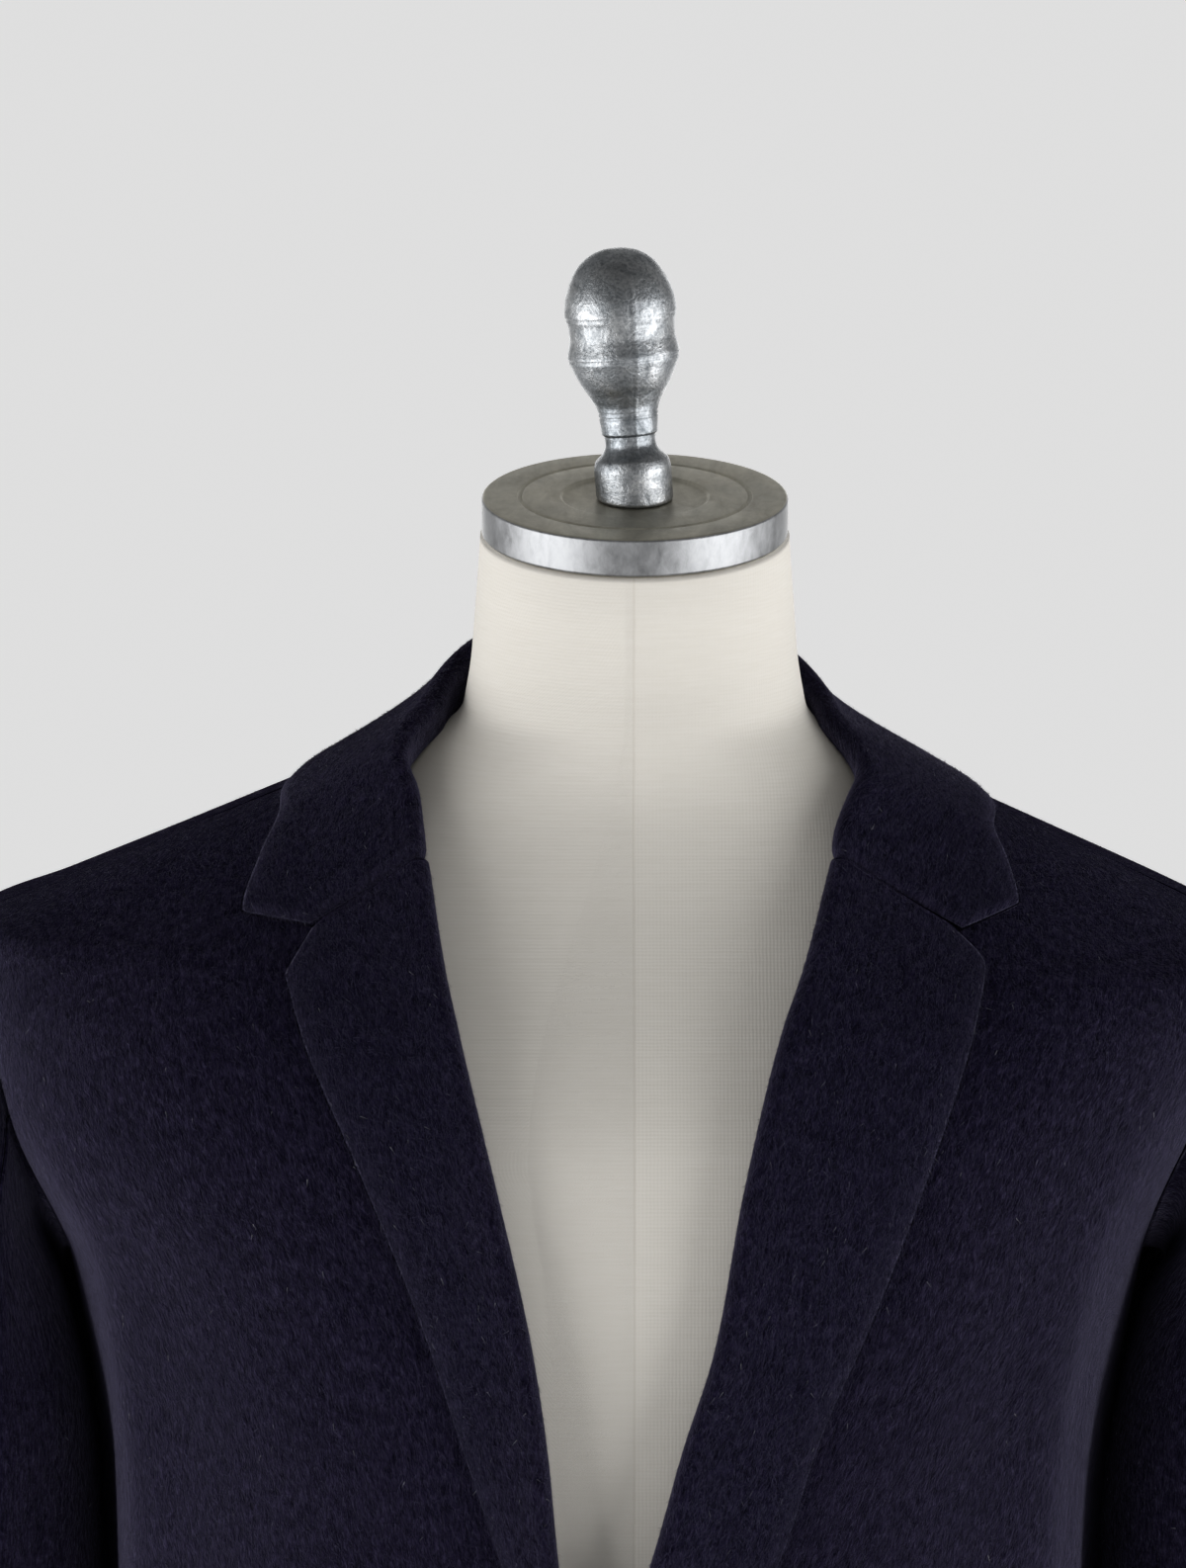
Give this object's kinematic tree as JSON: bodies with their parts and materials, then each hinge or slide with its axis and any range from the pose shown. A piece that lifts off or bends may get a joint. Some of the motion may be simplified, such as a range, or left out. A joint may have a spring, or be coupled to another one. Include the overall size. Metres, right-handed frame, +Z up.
{
  "type": "single-breasted wool overcoat on a limbless dress form",
  "caption": "Dark navy wool overcoat with notch lapels, closed in front, on a limbless dress form with a turned finial, a pole and a round base.",
  "frame": {"origin": "on the floor, at the middle of the object's footprint, under the pole's axis", "axes": "+Z up, -Y towards the front of the coat, +X towards the wearer's left"},
  "size_m": [0.6242, 0.42, 1.6245],
  "materials": {
    "wool": "brushed, matt",
    "button": "satin horn",
    "linen": "plain woven, matt",
    "cap_metal": "cast and turned, satin",
    "stand_metal": "satin"
  },
  "bodies": {
    "root": {"front_right": "wool", "front_left": "wool", "back_right": "wool", "back_left": "wool", "lapel_right": "wool", "lapel_left": "wool", "collar": "wool", "sleeve_upper_right": "wool", "sleeve_under_right": "wool", "sleeve_upper_left": "wool", "sleeve_under_left": "wool", "button_1": "button", "button_2": "button", "button_3": "button", "form_torso": "linen", "form_neck_cap": "cap_metal", "form_finial": "cap_metal", "stand_pole": "stand_metal", "stand_base": "stand_metal"}
  },
  "joints": []
}
